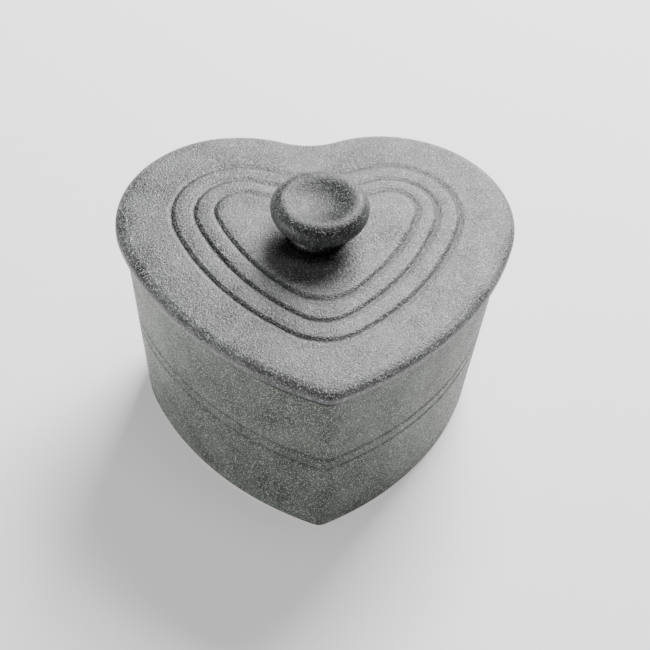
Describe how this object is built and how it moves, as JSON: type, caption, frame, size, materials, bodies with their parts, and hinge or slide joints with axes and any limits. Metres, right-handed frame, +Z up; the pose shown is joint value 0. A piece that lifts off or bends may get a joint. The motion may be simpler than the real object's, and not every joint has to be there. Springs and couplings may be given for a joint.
{
  "type": "wind-up music box",
  "caption": "Heart-shaped glazed ceramic box with a lift-off knobbed lid, an inner tray and a key-wound comb-and-cylinder movement under it that stops when the lid is down.",
  "frame": {"origin": "centre of the footprint's bounding box, on the surface the box stands on", "axes": "+Z up, the heart's point faces -Y, +X to the right seen from the point"},
  "size_m": [0.115, 0.1068, 0.0828],
  "materials": {
    "glaze": "satin speckled charcoal glaze",
    "base_board": "moulded, fine texture",
    "nylon": "natural nylon",
    "acetal": "moulded",
    "zinc_plate": "die-cast and gold plated",
    "steel": "ground",
    "nickel": "nickel plated",
    "screw_steel": "zinc plated",
    "spring_steel": "blued",
    "brass": "turned",
    "lead": "dull"
  },
  "bodies": {
    "box": {"body": "glaze", "base_plate": "base_board", "base_plate_anchors": "nylon", "base_plate_screws": "screw_steel", "movement_screws": "screw_steel", "bedplate": "zinc_plate", "mainspring": "spring_steel", "bearing_bracket_left": "zinc_plate", "bearing_bracket_right": "zinc_plate", "bracket_screws": "screw_steel", "comb": "steel", "tuning_leads": "lead", "comb_screws": "screw_steel", "governor_frame": "zinc_plate", "governor_frame_screws": "screw_steel", "governor_cap": "zinc_plate", "governor_cap_screws": "screw_steel", "stop_rod_spring": "spring_steel", "stop_rod_bush": "nylon", "stop_rod_bush_cap": "nylon"},
    "cylinder_set": {"cylinder": "brass", "cylinder_pins": "steel", "cylinder_end_discs": "brass", "cylinder_arbor": "steel", "cylinder_pinion": "steel", "cylinder_drive_gear": "brass"},
    "crown_set": {"crown_gear": "acetal", "clutch_spring": "steel"},
    "winding_set": {"winding_arbor": "steel", "winding_key": "nickel", "clutch_drum": "brass", "arbor_clip": "spring_steel"},
    "governor_set_1": {"governor_axle_1": "steel", "governor_pinion_1": "steel", "governor_wheel_1": "brass"},
    "governor_set_2": {"governor_axle_2": "steel", "governor_pinion_2": "steel", "governor_worm_wheel": "acetal"},
    "governor_worm_set": {"governor_worm": "steel", "air_fan": "acetal"},
    "lid_set": {"lid": "glaze", "lid_knob": "glaze"},
    "stop_rod_set": {"stop_rod": "nickel", "stop_rod_collar": "brass"}
  },
  "joints": [
    {"name": "cylinder_play", "type": "hinge", "parent": "box", "child": "cylinder_set", "pos_m": [0, 0.022, 0.02799], "axis": [-1, 0, 0], "continuous": true},
    {"name": "crown_turn", "type": "hinge", "parent": "box", "child": "crown_set", "pos_m": [-0.016, 0.022, 0.024], "axis": [0, 0, -1], "continuous": true},
    {"name": "key_wind", "type": "hinge", "parent": "crown_set", "child": "winding_set", "pos_m": [-0.016, 0.022, 0.024], "axis": [0, 0, 1], "range_deg": [0, 1800]},
    {"name": "governor_1_turn", "type": "hinge", "parent": "box", "child": "governor_set_1", "pos_m": [0.016, 0.01659, 0.02421], "axis": [1, 0, 0], "continuous": true},
    {"name": "governor_2_turn", "type": "hinge", "parent": "box", "child": "governor_set_2", "pos_m": [0.016, 0.01059, 0.02421], "axis": [-1, 0, 0], "continuous": true},
    {"name": "fan_spin", "type": "hinge", "parent": "box", "child": "governor_worm_set", "pos_m": [0.0206, 0.00579, 0.03], "axis": [0, 0, -1], "continuous": true},
    {"name": "lid_lift", "type": "slide", "parent": "box", "child": "lid_set", "axis": [0, 0, 1], "range_m": [0, 0.06]},
    {"name": "stop_rod_rise", "type": "slide", "parent": "box", "child": "stop_rod_set", "axis": [0, 0, 1], "range_m": [0, 0.0025], "deforming": ["stop_rod_spring"]}
  ],
  "couplings": [
    {"joint": "crown_turn", "follows": "cylinder_play", "ratio": 0.33333},
    {"joint": "governor_1_turn", "follows": "cylinder_play", "ratio": 4.5},
    {"joint": "governor_2_turn", "follows": "cylinder_play", "ratio": 18},
    {"joint": "fan_spin", "follows": "cylinder_play", "ratio": 216},
    {"joint": "stop_rod_rise", "follows": "lid_lift", "ratio": 0.041667}
  ]
}
